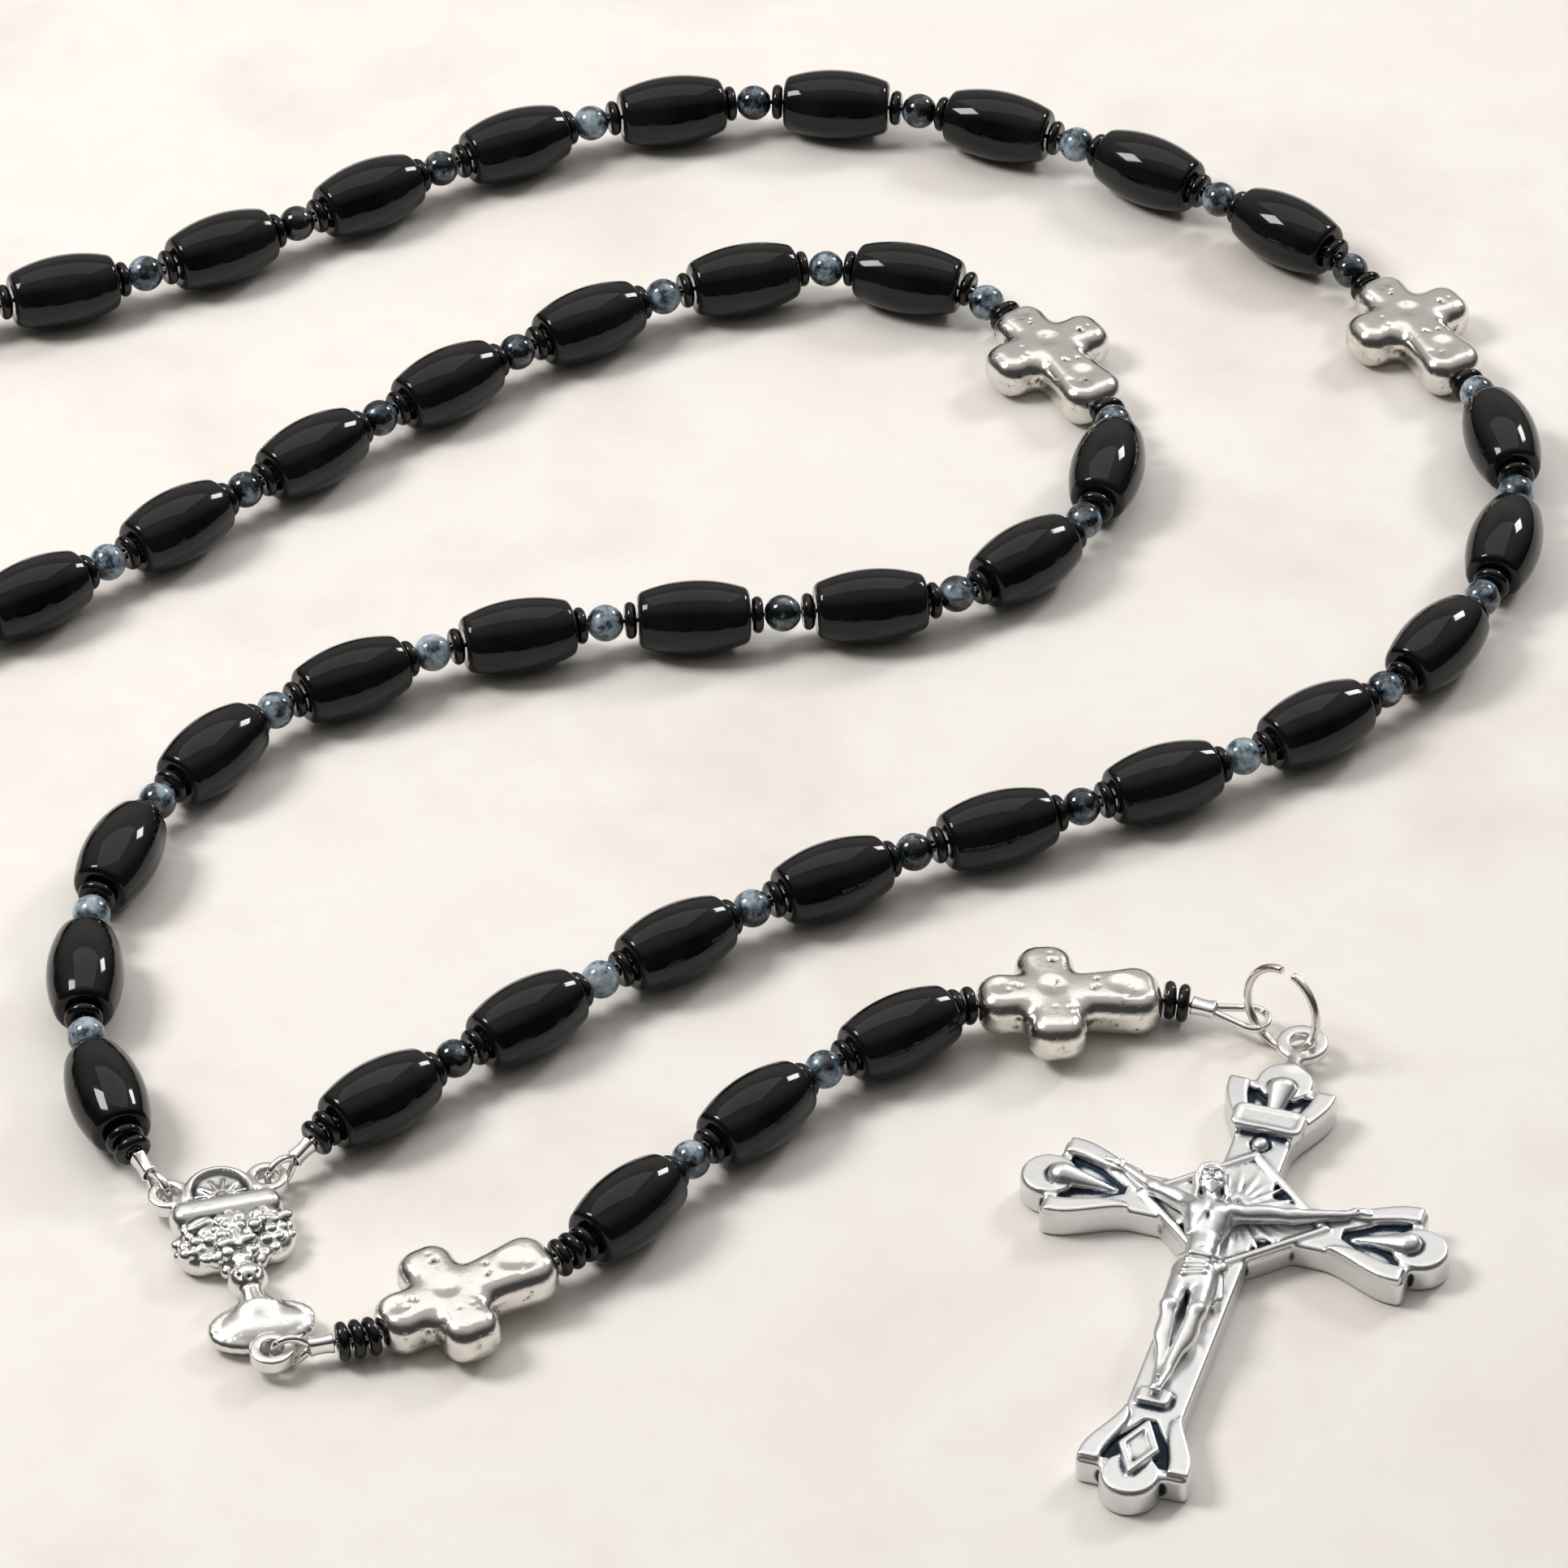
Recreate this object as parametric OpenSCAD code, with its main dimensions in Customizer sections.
// Five-decade rosary on beading wire: black barrel beads, speckled round spacers,
// cast cross beads, a chalice centrepiece and a crucifix on a jump ring.
// Millimetres. The origin is on the back face of the centrepiece, +Z up,
// and the whole rosary lies on the plane Z = 0.

/* [Barrel beads] */
// Length of a barrel bead
barrel_l = 12; // [11.5:0.1:12.1]
// Greatest diameter of a barrel bead
barrel_d = 8; // [7:0.1:8]
// Diameter of the flat end of a barrel bead
barrel_end_d = 5; // [4.4:0.1:5.4]
// Bore through the beads
bore_d = 1.1; // [1:0.05:1.2]

/* [Spacers] */
// Diameter of a round speckled spacer
round_d = 4; // [3.6:0.1:4]
// Diameter of a thin disc spacer
disc_d = 4; // [3.6:0.1:4.2]
// Thickness of a thin disc spacer
disc_t = 1.2; // [1.1:0.05:1.2]

/* [Cross beads] */
// Length along the bore
cross_l = 19; // [18:0.1:19]
// Width over the side arms
cross_w = 14.5; // [12:0.5:16]
// Thickness of a cross bead
cross_t = 5; // [4.6:0.1:5]
// Width of one arm
cross_arm = 6.2; // [5.6:0.1:6.6]

/* [Wire and findings] */
// Diameter of the beading wire
wire_d = 0.5; // [0.4:0.05:0.5]
// Outside diameter of a crimp tube
crimp_d = 2; // [1.9:0.05:2.2]
// Length of a crimp tube
crimp_l = 2.4; // [2:0.1:2.4]
// Outside diameter of the tube of a wire guard
guard_d = 0.84; // [0.8:0.02:0.9]
// Wire thickness of the jump ring
ring_wire = 0.9; // [0.8:0.05:0.9]

/* [Centrepiece] */
// Thickness of the bowl of the chalice
bowl_t = 4.2; // [3.8:0.1:4.6]
// Thickness of the ears
ear_t = 1.6; // [1.4:0.1:1.6]
// Hole through an ear
ear_hole_d = 2.3; // [2.3:0.05:2.5]

/* [Crucifix] */
// Thickness of the cross plate
plate_t = 3; // [2.6:0.1:3.2]
// Reach of each side arm from the crossing
side_reach = 22; // [20:0.5:23]
// Reach of the foot from the crossing
foot_reach = 42; // [39:0.5:43]
// Hole in the bail
bail_hole_d = 2.5; // [2.5:0.05:2.7]

/* [Hidden] */
$fn = 48;
tiny = 0.01;

// ---- the strand: rigid links that bend where the wire leaves a thin disc ----
// gaps left along the wire between a disc and its neighbour
barrel_gap = 0.2;
cross_gap = 0.3;
round_gap = 0.1;
stack_gap = 0.25;
crimp_gap = 0.3;
// from disc centre to disc centre
barrel_link = barrel_l + 2 * barrel_gap + disc_t;
cross_link = cross_l + 2 * cross_gap + disc_t;
round_link = round_d + 2 * round_gap + disc_t;
disc_step = disc_t + stack_gap;
// heights of the bores above the table
barrel_z = barrel_d / 2;
cross_z = cross_t / 2;

// bead kinds
B = 0;
X = 1;

// Each bead is [kind, direction in degrees, upward slope in degrees, link that follows it].
function plain(headings) = [for (h = headings) [B, h, 0, round_link]];
function cross_at(h) = [[X, h, 0, round_link]];

decade_1 = [108, 92, 72, 52, 30, 15, 4, 8, 42, 78];
decade_2 = [164, 197, 213, 219, 222, 222, 216, 220, 230, 236];
decade_3_start = [205, 172, 139, 108, 80];
decade_5 = [40, 40, 36, 28, 22, 25, 35, 54, 75, 100];
decade_4 = [140, 146, 160, 175, 192, 208, 214, 210, 198, 198];
decade_3_end = [202, 206, 216, 236, 256];

left_beads = concat(plain(decade_1), cross_at(122), plain(decade_2), cross_at(230),
  plain(decade_3_start));
right_beads = concat(plain(decade_5), cross_at(120), plain(decade_4), cross_at(198),
  plain(decade_3_end));
cross_tilt = 4;
drop_beads = [[X, 28, cross_tilt, 2 * disc_step], [B, 50, 0, round_link],
  [B, 46, 0, round_link], [B, 34, 0, disc_step], [X, 7, -cross_tilt, disc_step]];

function link_of(b) = b[0] == B ? barrel_link : cross_link;
function centre_z(b) = b[0] == B ? barrel_z
  : cross_z * cos(b[2]) + cross_l / 2 * abs(sin(b[2]));
function near_z(b) = centre_z(b) - link_of(b) / 2 * sin(b[2]);
function far_z(b) = centre_z(b) + link_of(b) / 2 * sin(b[2]);
function aim(h, p) = [cos(h) * cos(p), sin(h) * cos(p), sin(p)];
function far_point(v, b) = v + link_of(b) * aim(b[1], b[2]);
function next_point(v, b, c) =
  let(w = far_point(v, b), dz = near_z(c) - far_z(b),
    run = sqrt(b[3] * b[3] - dz * dz), h = (b[1] + c[1]) / 2)
  w + [run * cos(h), run * sin(h), dz];
// near disc centres of all beads, one after the other
function walk(beads, v, i = 0, done = []) =
  i == len(beads) - 1 ? concat(done, [v])
  : walk(beads, next_point(v, beads[i], beads[i + 1]), i + 1, concat(done, [v]));

// ---- centrepiece lies turned a little on the table ----
piece_turn = 15;
ear_x = 5;
ear_y = 5.5;
foot_ear_y = -19;
ear_z = 2.1;
ear_rim = 1;
function turned(x, y) = [x * cos(piece_turn) - y * sin(piece_turn),
  x * sin(piece_turn) + y * cos(piece_turn), 0];
left_ear = turned(-ear_x, ear_y) + [0, 0, ear_z];
right_ear = turned(ear_x, ear_y) + [0, 0, ear_z];
lower_ear = turned(0, foot_ear_y) + [0, 0, ear_z];

// ---- wire guards: a teardrop of tube round the rim of an ear ----
guard_r = 1.6;
guard_inset = 1.7;
guard_side = 0.45;
ear_reach = 2;
end_reach = 4;
// from the ear to the crimp, to the outer end of the crimp, and to the first disc centre
crimp_start = guard_inset + ear_reach;
crimp_stop = crimp_start + crimp_l;
first_disc = crimp_stop + crimp_gap + disc_t / 2;

left_way = 125;
right_way = 45;
lower_way = 12;
end_way = -15;

function strand_start(ear, way, discs, z) =
  let(reach = first_disc + (discs - 1) * disc_step - guard_inset,
    dz = z - ear[2], run = sqrt(reach * reach - dz * dz) + guard_inset)
  [ear[0] + run * cos(way), ear[1] + run * sin(way), z];
left_start = strand_start(left_ear, left_way, 2, barrel_z);
right_start = strand_start(right_ear, right_way, 2, barrel_z);
drop_start = strand_start(lower_ear, lower_way, 3, near_z(drop_beads[0]));

left_near = walk(left_beads, left_start);
right_near = walk(right_beads, right_start);
drop_near = walk(drop_beads, drop_start);
function fars(beads, near) = [for (i = [0:len(beads) - 1]) far_point(near[i], beads[i])];
left_far = fars(left_beads, left_near);
right_far = fars(right_beads, right_near);
drop_far = fars(drop_beads, drop_near);

// the line that a crimp and its guard lie on, from the middle of the guard's arc outwards
function arc_mid(ear, way) = ear + guard_inset * aim(way, 0);
left_arc = arc_mid(left_ear, left_way);
right_arc = arc_mid(right_ear, right_way);
lower_arc = arc_mid(lower_ear, lower_way);
// the end guard lies flat, and its loop holds the jump ring
ring_pass_z = 1.9;
end_run = disc_step + disc_t / 2 + crimp_gap + crimp_l + end_reach;
end_arc = let(w = drop_far[4], dz = ring_pass_z - w[2],
    run = sqrt(end_run * end_run - dz * dz))
  w + [run * cos(end_way), run * sin(end_way), dz];

// ---- jump ring: it stands up, leaning a little, through the guard and the bail ----
ring_r = 4.45;
ring_heading = -42;
ring_lean = 9;
ring_gap = 16;
ring_low_z = 0.02;
ring_c_z = ring_low_z + ring_wire / 2 + ring_r * cos(ring_lean);
ring_drop = (ring_c_z - ring_pass_z) / cos(ring_lean);
ring_half = sqrt(ring_r * ring_r - ring_drop * ring_drop);
ring_across = [cos(ring_heading), sin(ring_heading), 0];
ring_up = [-sin(ring_heading) * sin(ring_lean), cos(ring_heading) * sin(ring_lean),
  cos(ring_lean)];
ring_centre = end_arc + ring_half * ring_across + ring_drop * ring_up;
bail_z = 2.1;
bail_t = 1.2;
bail_half = 3.2;
bail_point = ring_centre + bail_half * ring_across
  + (bail_z - ring_centre[2]) / cos(ring_lean) * ring_up;

// ---- placing ----
module along(p, heading, pitch = 0) {
  translate(p) rotate([0, -pitch, heading]) children();
}

// ---- beads, with the bore along X ----
module barrel_bead() {
  // a circular arc from end to end gives the swelling side
  rise = (barrel_d - barrel_end_d) / 2;
  side_r = (barrel_l * barrel_l / 4 + rise * rise) / (2 * rise);
  difference() {
    rotate([0, 90, 0]) rotate_extrude() intersection() {
      translate([barrel_d / 2 - side_r, 0]) circle(r = side_r, $fn = 160);
      translate([0, -barrel_l / 2]) square([barrel_d, barrel_l]);
    }
    rotate([0, 90, 0]) cylinder(d = bore_d, h = barrel_l + 2, center = true);
  }
}

module round_bead() {
  rotate([0, 90, 0]) rotate_extrude() intersection() {
    circle(d = round_d);
    translate([bore_d / 2, -round_d]) square([round_d, 2 * round_d]);
  }
}

module disc_bead() {
  rotate([0, 90, 0]) rotate_extrude() {
    translate([bore_d / 2, -disc_t / 2])
      square([disc_d / 2 - disc_t / 2 - bore_d / 2, disc_t]);
    translate([disc_d / 2 - disc_t / 2, 0]) circle(d = disc_t);
  }
}

// one arm of a cross bead with well rounded corners, from the crossing outwards along +X
module soft_arm(reach, width) {
  corner = 2;
  translate([0, -width / 2]) square([reach - corner, width]);
  translate([reach - corner - tiny, -width / 2 + corner])
    square([corner + tiny, width - 2 * corner]);
  for (s = [-1, 1])
    translate([reach - corner, s * (width / 2 - corner)]) circle(r = corner);
}

module cross_bead() {
  short_end = 7.6;
  inner = 1.6;
  difference() {
    translate([0, 0, -cross_t / 2]) linear_extrude(cross_t)
      translate([short_end - cross_l / 2, 0]) difference() {
        union() {
          soft_arm(cross_l - short_end, cross_arm);
          rotate(180) soft_arm(short_end, cross_arm - 0.4);
          for (a = [90, -90]) rotate(a) soft_arm(cross_w / 2, cross_arm - 0.4);
          square(cross_arm + 2 * inner, center = true);
        }
        for (sx = [-1, 1], sy = [-1, 1])
          translate([sx, sy] * (cross_arm / 2 + inner)) circle(r = inner);
      }
    rotate([0, 90, 0]) cylinder(d = bore_d, h = cross_l + 2, center = true);
  }
}

// ---- putting beads on a strand ----
module place_bead(beads, near, i) {
  along((near[i] + far_point(near[i], beads[i])) / 2, beads[i][1], beads[i][2]) children();
}

module barrels(beads, near, from, to) {
  color("#141414") for (i = [from:to])
    place_bead(beads, near, i) barrel_bead();
}

function heading_of(v) = atan2(v[1], v[0]);
function pitch_of(v) = asin(v[2] / norm(v));

module place_between(a, b) {
  along((a + b) / 2, heading_of(b - a), pitch_of(b - a)) children();
}

// the round spacer that follows bead i
module rounds(near, far, from, to) {
  color("#5f6b78") for (i = [from:to])
    place_between(far[i], near[i + 1]) round_bead();
}

// a disc lies between the directions of its bead and of the link beside it: about two
// thirds of the way to the bead's, or one third where two discs share a short link
function share(link) = norm(link) < 1.5 * disc_step ? 1.08 : 1.94;
module disc_at(p, bead, link, near) {
  v = near * unit(bead) + (3 - near) * unit(link);
  color("#101010") along(p, heading_of(v), pitch_of(v)) disc_bead();
}

// both discs of beads from .. to; lead is the point before the strand's first disc
module discs(near, far, from, to, lead, tail) {
  last = len(near) - 1;
  for (i = [from:to]) {
    before = i == 0 ? lead : far[i - 1];
    after = i == last ? tail : near[i + 1];
    bead = far[i] - near[i];
    disc_at(near[i], bead, near[i] - before, share(near[i] - before));
    disc_at(far[i], bead, after - far[i], share(after - far[i]));
  }
}

// ---- centrepiece ----
module ear(x, y, rim) {
  translate([x, y, ear_z - ear_t / 2]) cylinder(d = ear_hole_d + 2 * rim, h = ear_t);
}

module ear_bore(x, y) {
  translate([x, y, -1]) cylinder(d = ear_hole_d, h = 8);
}

module centrepiece() {
  host_r = 3.6;
  host_y = 4.6;
  host_t = 2.7;
  bowl_y = -1;
  bowl_r = 6.2;
  knob_y = -8;
  base_y = -14.6;
  base_r = 5.3;
  foot_t = 3.4;
  color("#c9c7c0") rotate([0, 0, piece_turn]) difference() {
    union() {
      translate([0, host_y, 0.4]) cylinder(r = host_r, h = host_t);
      // bowl: half a round cup, cut off straight at the rim
      intersection() {
        translate([0, bowl_y, bowl_t - 9]) sphere(r = 9, $fn = 96);
        linear_extrude(bowl_t + 1) union() {
          translate([0, bowl_y]) circle(r = bowl_r);
          translate([-bowl_r, bowl_y]) square([2 * bowl_r, 4]);
        }
        translate([-9, bowl_y - bowl_r, 0]) cube([18, bowl_r + 4, bowl_t]);
      }
      // stem with its knob
      translate([-1.3, -12, 0]) cube([2.6, 6, 2.4]);
      translate([0, knob_y, 1.7]) intersection() {
        sphere(r = 2.1);
        translate([-3, -3, -1.7]) cube([6, 6, 4]);
      }
      // domed foot
      intersection() {
        translate([0, base_y, 0]) cylinder(r = base_r, h = foot_t);
        translate([-base_r, base_y - 2.6, 0]) cube([2 * base_r, 5.4, foot_t]);
      }
      for (s = [-1, 1]) {
        ear(s * ear_x, ear_y, ear_rim);
        translate([s * 3.6 - 1, 2.4, ear_z - ear_t / 2]) cube([2, 2.6, ear_t]);
      }
      ear(0, foot_ear_y, ear_rim + 0.1);
    }
    for (s = [-1, 1]) ear_bore(s * ear_x, ear_y);
    ear_bore(0, foot_ear_y);
  }
}

// ---- wire guards and crimps ----
guard_bore = 0.62;
crimp_bore = 1.3;
// slope of the legs that run from the arc to the crimp
function leg_lean(reach) =
  asin(guard_r / norm([reach, guard_side])) - atan(guard_side / reach);

module guard_ring(wall_out, wall_in) {
  difference() {
    circle(d = wall_out);
    circle(d = wall_in);
  }
}

module guard_arc(from, to) {
  rotate([90, 0, 0]) rotate([0, 0, from]) rotate_extrude(angle = to - from)
    translate([guard_r, 0]) children();
}

// teardrop in the XZ plane: the arc is about the origin and the legs run towards +X
module guard_loop(reach) {
  lean = leg_lean(reach);
  // half the sweep of the open saddle, and how far it runs into the closed tube
  saddle = 48;
  lap = 3;
  // the lapping stretches are a little slimmer, in the wall and in the bore
  slim = 0.04;
  leg_lap = 0.1;
  foot = [guard_r * sin(lean), guard_r * cos(lean)];
  leg = norm([reach, guard_side] - foot) - 0.3;
  color("#dcdcdc") union() {
    guard_arc(180 - saddle - lap, 180 + saddle + lap) difference() {
      guard_ring(guard_d - slim, guard_bore - slim);
      translate([0.1, -1]) square([1, 2]);
    }
    for (s = [0, 1]) mirror([0, 0, s]) {
      guard_arc(90 - lean, 180 - saddle) guard_ring(guard_d, guard_bore);
      translate([foot[0], 0, foot[1]]) rotate([0, 90 + lean, 0])
        translate([0, 0, -leg_lap]) linear_extrude(leg + leg_lap)
        guard_ring(guard_d - slim, guard_bore - slim);
    }
  }
}

module crimp(reach) {
  color("#e2e2e2") translate([reach, 0, 0]) rotate([0, 90, 0]) difference() {
    cylinder(d = crimp_d, h = crimp_l);
    translate([0, 0, -1]) cylinder(d = crimp_bore, h = crimp_l + 2);
  }
}

module at_ear(arc, way, first) {
  along(arc, way, pitch_of(first - arc)) children();
}

module at_end() {
  along(end_arc, end_way + 180, pitch_of(drop_far[4] - end_arc)) rotate([90, 0, 0])
    children();
}

module guard_left() { at_ear(left_arc, left_way, left_start) guard_loop(ear_reach); }
module guard_right() { at_ear(right_arc, right_way, right_start) guard_loop(ear_reach); }
module guard_lower() { at_ear(lower_arc, lower_way, drop_start) guard_loop(ear_reach); }
module guard_end() { at_end() guard_loop(end_reach); }
module crimp_left() { at_ear(left_arc, left_way, left_start) crimp(ear_reach); }
module crimp_right() { at_ear(right_arc, right_way, right_start) crimp(ear_reach); }
module crimp_lower() { at_ear(lower_arc, lower_way, drop_start) crimp(ear_reach); }
module crimp_end() { at_end() crimp(end_reach); }

// ---- beading wire ----
// wire round a guard, from its tail in the crimp to where it leaves the crimp
wire_side = 0.3;
function loop_outline(reach) =
  let(lean = leg_lean(reach), sweep = 180 + 2 * lean, n = 12)
  concat([[reach + crimp_l, -wire_side], [reach - 0.05, -wire_side],
      [reach - 0.3, -guard_side - 0.3 * tan(lean)]],
    [for (i = [0:n]) let(a = -(90 - lean) - sweep * i / n) guard_r * [cos(a), sin(a)]],
    [[reach - 0.3, guard_side + 0.3 * tan(lean)], [reach - 0.05, wire_side],
      [reach + crimp_l - 0.6, wire_side], [reach + crimp_l + 0.2, 0]]);
function loop_points(arc, f, w, reach) =
  [for (p = loop_outline(reach)) arc + p[0] * f + p[1] * w];
function ear_points(arc, way, first) =
  let(p = pitch_of(first - arc))
  loop_points(arc, aim(way, p), aim(way, p + 90), ear_reach);
function reversed(list) = [for (i = [len(list) - 1:-1:0]) list[i]];
function zipped(near, far) = [for (i = [0:len(near) - 1]) each [near[i], far[i]]];

loop_path = concat(ear_points(left_arc, left_way, left_start), zipped(left_near, left_far),
  reversed(zipped(right_near, right_far)),
  reversed(ear_points(right_arc, right_way, right_start)));
end_pitch = pitch_of(drop_far[4] - end_arc);
drop_path = concat(ear_points(lower_arc, lower_way, drop_start), zipped(drop_near, drop_far),
  reversed(loop_points(end_arc, aim(end_way + 180, end_pitch),
    [-sin(end_way), cos(end_way), 0], end_reach)));

function unit(v) = v / norm(v);
function tangent(path, i) =
  i == 0 ? unit(path[1] - path[0])
  : i == len(path) - 1 ? unit(path[i] - path[i - 1])
  : unit(unit(path[i] - path[i - 1]) + unit(path[i + 1] - path[i]));
// side vectors carried along the path without twisting
function carried(path, n, i = 0, done = []) =
  i == len(path) ? done
  : let(t = tangent(path, i), m = unit(n - (n * t) * t))
    carried(path, m, i + 1, concat(done, [m]));

module swept_wire(path) {
  sides = 8;
  normals = carried(path, [0.2, 0.3, 1]);
  points = [for (i = [0:len(path) - 1])
      let(t = tangent(path, i), n = normals[i], b = cross(t, n))
      for (k = [0:sides - 1])
        path[i] + wire_d / 2 * (n * cos(360 * k / sides) + b * sin(360 * k / sides))];
  last = len(path) - 1;
  walls = [for (i = [0:last - 1], k = [0:sides - 1])
      [i * sides + k, (i + 1) * sides + k,
        (i + 1) * sides + (k + 1) % sides, i * sides + (k + 1) % sides]];
  color("#bdbdbd") polyhedron(points,
    concat([[for (k = [0:sides - 1]) k]], walls,
      [[for (k = [sides - 1:-1:0]) last * sides + k]]), convexity = 10);
}

module loop_wire() { swept_wire(loop_path); }
module drop_wire() { swept_wire(drop_path); }

// ---- jump ring ----
module jump_ring() {
  color("#cfc8bb") translate(ring_centre)
    rotate([0, 0, ring_heading]) rotate([-ring_lean, 0, 0]) rotate([90, 0, 0])
    rotate([0, 0, 90 + ring_gap / 2]) rotate_extrude(angle = 360 - ring_gap)
    translate([ring_r, 0]) circle(d = ring_wire);
}

// ---- crucifix: drawn hanging down -Y from the hole of its bail ----
crucifix_turn = -17;
crossing_y = -27;
top_reach = 23;
bar_w = 6.2;

// trefoil end of an arm that points along +X from the crossing
module fleur(reach) {
  translate([0, -bar_w / 2]) square([reach - 4, bar_w]);
  translate([reach - 3, 0]) circle(r = 3);
  for (s = [-1, 1]) translate([reach - 5.4, s * 3]) circle(r = 2.6);
}

// a round limb from a to b
module limb(a, b, r) {
  v = b - a;
  translate(a) rotate([0, acos(v[2] / norm(v)), atan2(v[1], v[0])])
    cylinder(r = r, h = norm(v));
}

module corpus() {
  neck = [-1.9, -2];
  hip = [-0.8, -10.6];
  toe = [-0.5, -27.2];
  translate([-2.6, 1.2, plate_t + 1]) sphere(r = 2.2);
  limb([neck[0], neck[1], plate_t + 0.4], [hip[0], hip[1], plate_t + 0.4], 2.2);
  limb([hip[0], hip[1] + 0.6, plate_t + 0.1], [toe[0], toe[1], plate_t - 0.2], 1.8);
  for (hand = [[-12.7, 3], [11.9, 2.8]])
    limb([neck[0] + sign(hand[0]), -1.4, plate_t], [hand[0], hand[1], plate_t - 0.1], 0.9);
}

// lozenge behind the head: a thin plate across the corners between the arms
module lozenge() {
  linear_extrude(2.2) polygon([[10, 0], [0, 9.2], [-10, 0], [0, -9.2]]);
}

module crucifix() {
  color("#cfccc4") translate([bail_point[0], bail_point[1], 0])
    rotate([0, 0, crucifix_turn]) difference() {
      union() {
        translate([0, 0, bail_z - bail_t / 2]) cylinder(d = 5.4, h = bail_t);
        translate([-1.6, -5, bail_z - bail_t / 2]) cube([3.2, 3, bail_t]);
        translate([0, crossing_y, 0]) {
          linear_extrude(plate_t) {
            fleur(side_reach);
            rotate(180) fleur(side_reach);
            rotate(90) fleur(top_reach);
            rotate(-90) fleur(foot_reach);
          }
          translate([-3.6, 11.8, plate_t - tiny]) cube([7.2, 3, 0.8]);
          lozenge();
          corpus();
        }
      }
      translate([0, 0, -1]) cylinder(d = bail_hole_d, h = plate_t + 2);
    }
}

// ---- decades: half a is the one nearer the centrepiece along its own arm ----
last_bead = len(left_beads) - 1;
left_lead = left_start - 4 * aim(left_way, pitch_of(left_start - left_arc));
right_lead = right_start - 4 * aim(right_way, pitch_of(right_start - right_arc));
drop_lead = drop_start - 4 * aim(lower_way, pitch_of(drop_start - lower_arc));

module left_rounds(from, to) { rounds(left_near, left_far, from, to); }
module right_rounds(from, to) { rounds(right_near, right_far, from, to); }
module left_discs(from, to) {
  discs(left_near, left_far, from, to, left_lead, right_far[last_bead]);
}
module right_discs(from, to) {
  discs(right_near, right_far, from, to, right_lead, left_far[last_bead]);
}
// the n-th disc before the strand's first one, turned on step by step to face the crimp
module disc_before(first, lead, bead, n = 1) {
  p = first + n * disc_step * unit(lead - first);
  disc_at(p, bead, first - lead, 2 - n);
}

module decade_1a_barrels() { barrels(left_beads, left_near, 0, 4); }
module decade_1a_rounds() { left_rounds(0, 4); }
module decade_1a_discs() {
  disc_before(left_start, left_lead, left_far[0] - left_near[0]);
  left_discs(0, 4);
}
module decade_1b_barrels() { barrels(left_beads, left_near, 5, 9); }
module decade_1b_rounds() { left_rounds(5, 10); }
module decade_1b_discs() { left_discs(5, 10); }
module decade_2a_barrels() { barrels(left_beads, left_near, 11, 15); }
module decade_2a_rounds() { left_rounds(11, 15); }
module decade_2a_discs() { left_discs(11, 15); }
module decade_2b_barrels() { barrels(left_beads, left_near, 16, 20); }
module decade_2b_rounds() { left_rounds(16, 21); }
module decade_2b_discs() { left_discs(16, 21); }
module decade_3a_barrels() { barrels(left_beads, left_near, 22, 26); }
module decade_3a_rounds() {
  left_rounds(22, 25);
  color("#5f6b78") place_between(left_far[last_bead], right_far[last_bead]) round_bead();
}
module decade_3a_discs() { left_discs(22, 26); }
module decade_3b_barrels() { barrels(right_beads, right_near, 22, 26); }
module decade_3b_rounds() { right_rounds(22, 25); }
module decade_3b_discs() { right_discs(22, 26); }
module decade_4b_barrels() { barrels(right_beads, right_near, 16, 20); }
module decade_4b_rounds() { right_rounds(16, 21); }
module decade_4b_discs() { right_discs(16, 21); }
module decade_4a_barrels() { barrels(right_beads, right_near, 11, 15); }
module decade_4a_rounds() { right_rounds(11, 15); }
module decade_4a_discs() { right_discs(11, 15); }
module decade_5b_barrels() { barrels(right_beads, right_near, 5, 9); }
module decade_5b_rounds() { right_rounds(5, 10); }
module decade_5b_discs() { right_discs(5, 10); }
module decade_5a_barrels() { barrels(right_beads, right_near, 0, 4); }
module decade_5a_rounds() { right_rounds(0, 4); }
module decade_5a_discs() {
  disc_before(right_start, right_lead, right_far[0] - right_near[0]);
  right_discs(0, 4);
}

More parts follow.
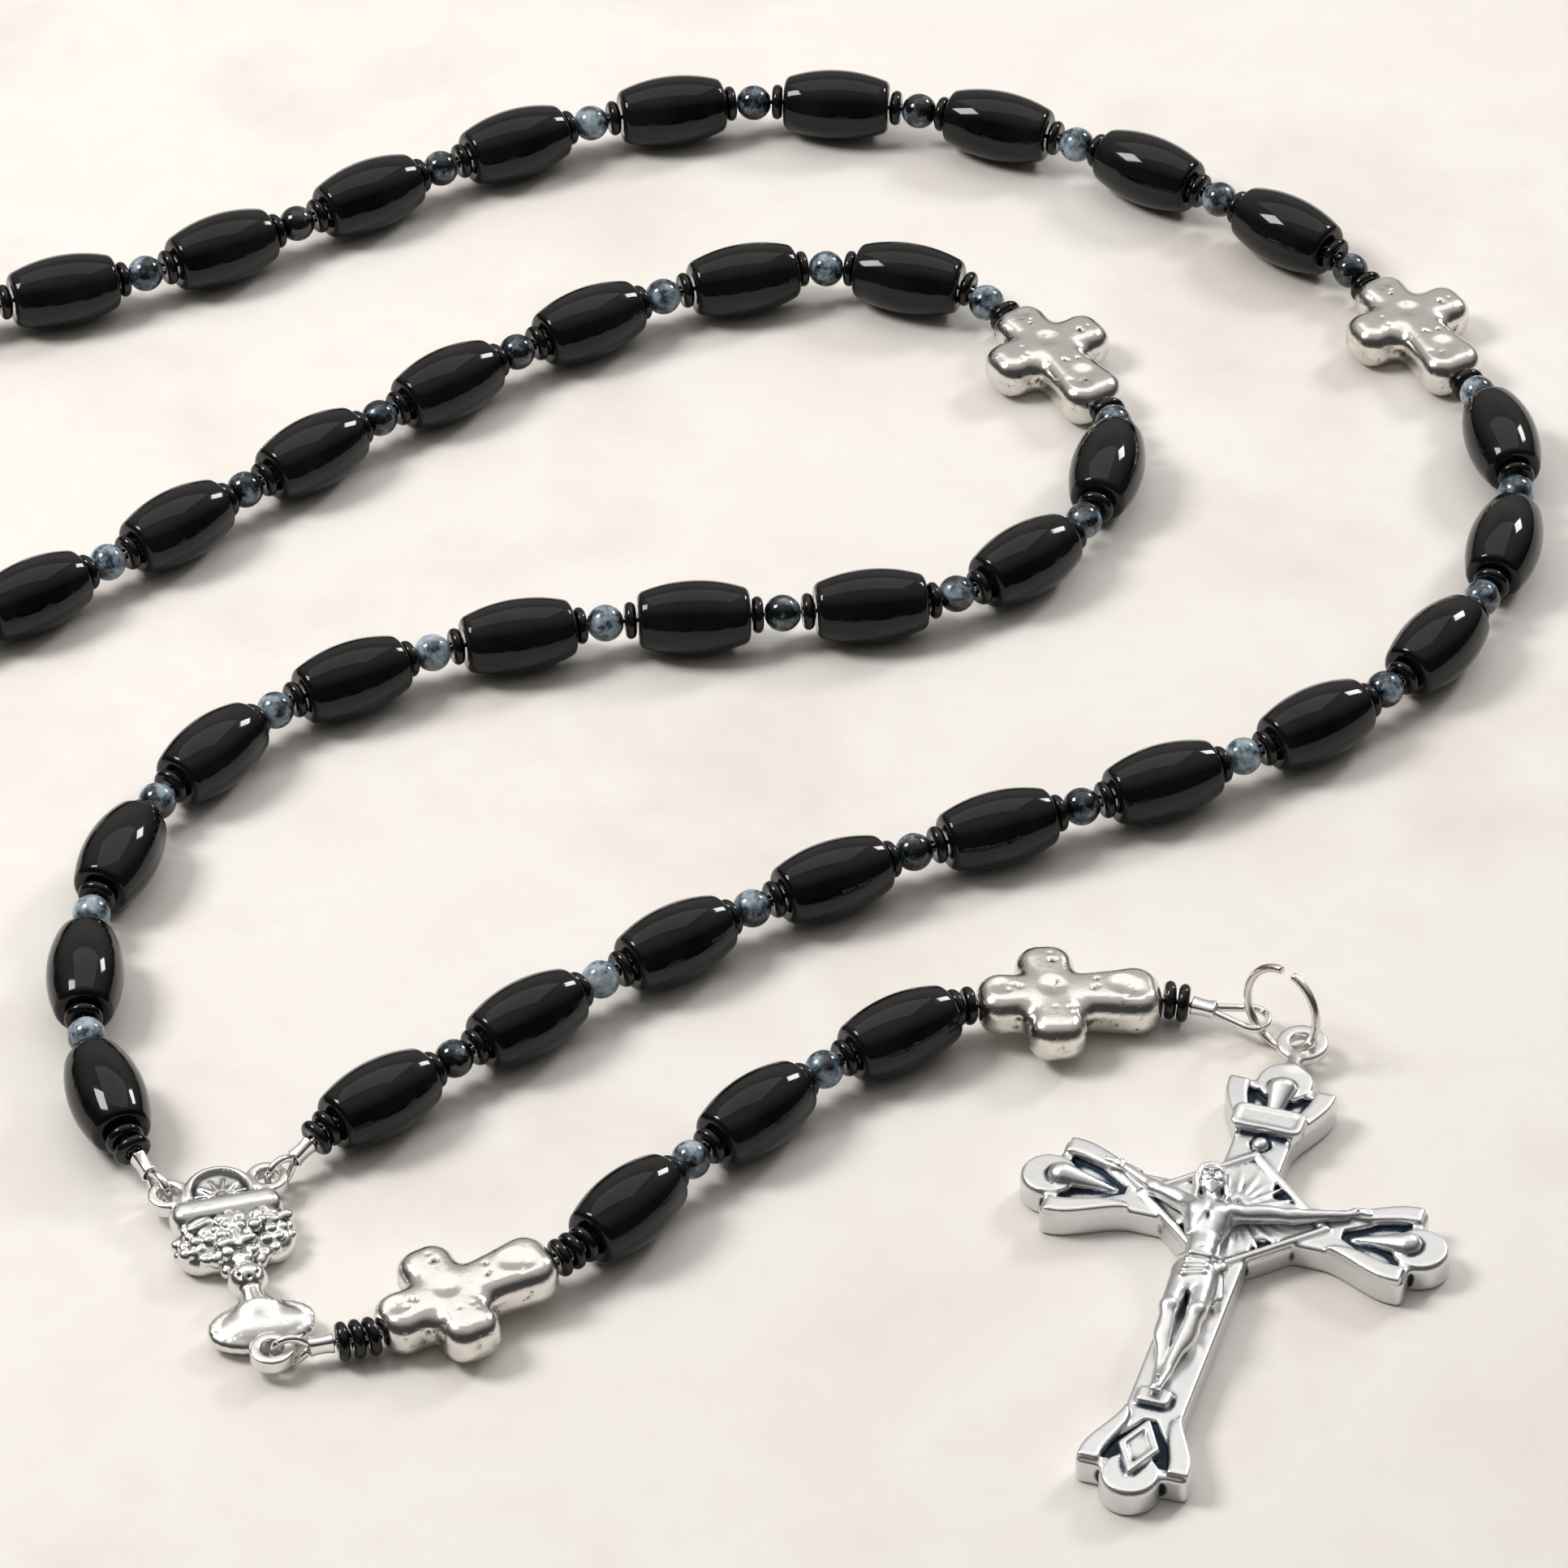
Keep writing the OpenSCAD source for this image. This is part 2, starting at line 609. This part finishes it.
// ---- cast cross beads ----
module cast_cross(beads, near, i, turn = 0) {
  color("#c6c2b8") place_bead(beads, near, i) rotate([0, 0, turn]) cross_bead();
}
module cross_bead_1() { cast_cross(left_beads, left_near, 10, 180); }
module cross_bead_2() { cast_cross(left_beads, left_near, 21, 180); }
module cross_bead_3() { cast_cross(right_beads, right_near, 21); }
module cross_bead_4() { cast_cross(right_beads, right_near, 10, 180); }
module cross_bead_drop_1() { cast_cross(drop_beads, drop_near, 0); }
module cross_bead_drop_2() { cast_cross(drop_beads, drop_near, 4); }

// ---- drop ----
module drop_barrel_1() { barrels(drop_beads, drop_near, 1, 1); }
module drop_barrel_2() { barrels(drop_beads, drop_near, 2, 2); }
module drop_barrel_3() { barrels(drop_beads, drop_near, 3, 3); }
module drop_round_1() { rounds(drop_near, drop_far, 1, 1); }
module drop_round_2() { rounds(drop_near, drop_far, 2, 2); }
module drop_discs_first() {
  for (n = [1, 2]) disc_before(drop_start, drop_lead, drop_far[0] - drop_near[0], n);
  discs(drop_near, drop_far, 0, 1, drop_lead, end_arc);
  place_between(drop_far[0], drop_near[1]) color("#101010") disc_bead();
}
module drop_discs_middle() { discs(drop_near, drop_far, 2, 2, drop_lead, end_arc); }
module drop_discs_last() {
  discs(drop_near, drop_far, 3, 4, drop_lead, end_arc);
  disc_before(drop_far[4], end_arc, drop_near[4] - drop_far[4]);
}

centrepiece();
crucifix();
jump_ring();
guard_left();
guard_right();
guard_lower();
guard_end();
crimp_left();
crimp_right();
crimp_lower();
crimp_end();
loop_wire();
drop_wire();
decade_1a_barrels();
decade_1a_rounds();
decade_1a_discs();
decade_1b_barrels();
decade_1b_rounds();
decade_1b_discs();
decade_2a_barrels();
decade_2a_rounds();
decade_2a_discs();
decade_2b_barrels();
decade_2b_rounds();
decade_2b_discs();
decade_3a_barrels();
decade_3a_rounds();
decade_3a_discs();
decade_3b_barrels();
decade_3b_rounds();
decade_3b_discs();
decade_4a_barrels();
decade_4a_rounds();
decade_4a_discs();
decade_4b_barrels();
decade_4b_rounds();
decade_4b_discs();
decade_5a_barrels();
decade_5a_rounds();
decade_5a_discs();
decade_5b_barrels();
decade_5b_rounds();
decade_5b_discs();
cross_bead_1();
cross_bead_2();
cross_bead_3();
cross_bead_4();
cross_bead_drop_1();
cross_bead_drop_2();
drop_barrel_1();
drop_barrel_2();
drop_barrel_3();
drop_round_1();
drop_round_2();
drop_discs_first();
drop_discs_middle();
drop_discs_last();
